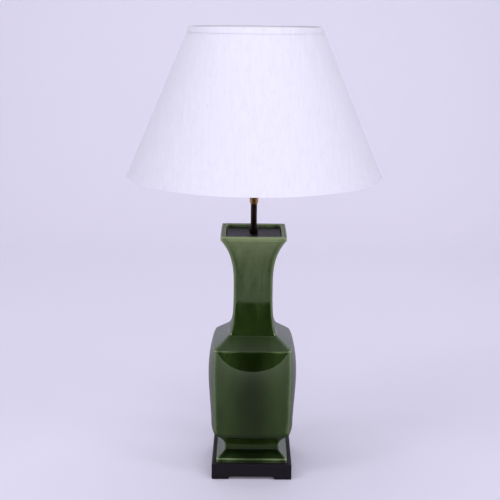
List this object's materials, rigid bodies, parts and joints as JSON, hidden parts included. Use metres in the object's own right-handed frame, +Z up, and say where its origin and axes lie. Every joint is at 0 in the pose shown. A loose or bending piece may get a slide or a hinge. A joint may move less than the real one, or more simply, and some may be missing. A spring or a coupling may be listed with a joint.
{
  "type": "table lamp",
  "caption": "Table lamp: square bulged ceramic vase with a flared mouth on a bracket-foot stand, screw lampholder and tapered round fabric shade.",
  "frame": {"origin": "centre of the footprint, on the surface that the lamp stands on", "axes": "+Z up along the lamp's stem; the front is towards -Y and the flex enters at the back, towards +Y"},
  "size_m": [0.407, 0.407, 0.7326],
  "materials": {
    "ebonised_wood": "satin black lacquer",
    "felt": "pressed felt",
    "green_glaze": "glossy green glaze, pale at the edges",
    "black_plate": "dark grey paint",
    "bronzed_steel": "dark bronze",
    "plated_steel": "zinc plated",
    "lamp_brass": "satin brass",
    "phenolic": "moulded phenolic",
    "switch_plastic": "gloss black",
    "silk": "slubbed silk",
    "liner_card": "white styrene lining",
    "white_wire": "white enamel",
    "opal_glass": "opal",
    "bulb_metal": "rolled screw cap"
  },
  "bodies": {
    "lamp": {"stand_board": "ebonised_wood", "stand_aprons": "ebonised_wood", "felt_pads": "felt", "cord_bush": "switch_plastic", "vase": "green_glaze", "mouth_plate": "black_plate", "base_nut": "plated_steel", "base_washer": "plated_steel", "tie_rod": "plated_steel", "stem": "bronzed_steel", "neck_coupler": "bronzed_steel", "holder_cap": "lamp_brass", "holder_body": "lamp_brass", "holder_insulator": "phenolic", "screw_shell": "lamp_brass", "centre_contact": "lamp_brass", "terminal_screws": "lamp_brass", "shade_ring_lower": "lamp_brass", "shade_ring_upper": "lamp_brass"},
    "switch": {"switch_bar": "switch_plastic"},
    "carrier": {"carrier_base": "lamp_brass", "carrier_legs": "lamp_brass", "carrier_gallery": "lamp_brass"},
    "shade": {"shade_cover": "silk", "shade_liner": "liner_card", "shade_top_trim": "silk", "shade_bottom_trim": "silk", "shade_top_wire": "white_wire", "shade_bottom_wire": "white_wire", "shade_gallery": "white_wire", "shade_arms": "white_wire"},
    "bulb_rider": {"bulb_tip": "bulb_metal"},
    "bulb": {"bulb_cap": "bulb_metal", "bulb_glass": "opal_glass"}
  },
  "joints": [
    {"name": "switch_push", "type": "slide", "parent": "lamp", "child": "switch", "axis": [1, 0, 0], "range_m": [0, 0.005]},
    {"name": "carrier_swivel", "type": "hinge", "parent": "lamp", "child": "carrier", "pos_m": [0, 0, 0.5014], "axis": [0, 0, 1], "continuous": true},
    {"name": "shade_lift", "type": "slide", "parent": "carrier", "child": "shade", "axis": [0, 0, 1], "range_m": [0, 0.25]},
    {"name": "bulb_rise", "type": "slide", "parent": "lamp", "child": "bulb_rider", "axis": [0, 0, 1], "range_m": [0, 0.01815]},
    {"name": "bulb_turn", "type": "hinge", "parent": "bulb_rider", "child": "bulb", "pos_m": [0, 0, 0.5066], "axis": [0, 0, 1], "range_deg": [0, 1800]}
  ],
  "couplings": [
    {"joint": "bulb_turn", "follows": "bulb_rise", "rad_per_m": 1731.4}
  ]
}
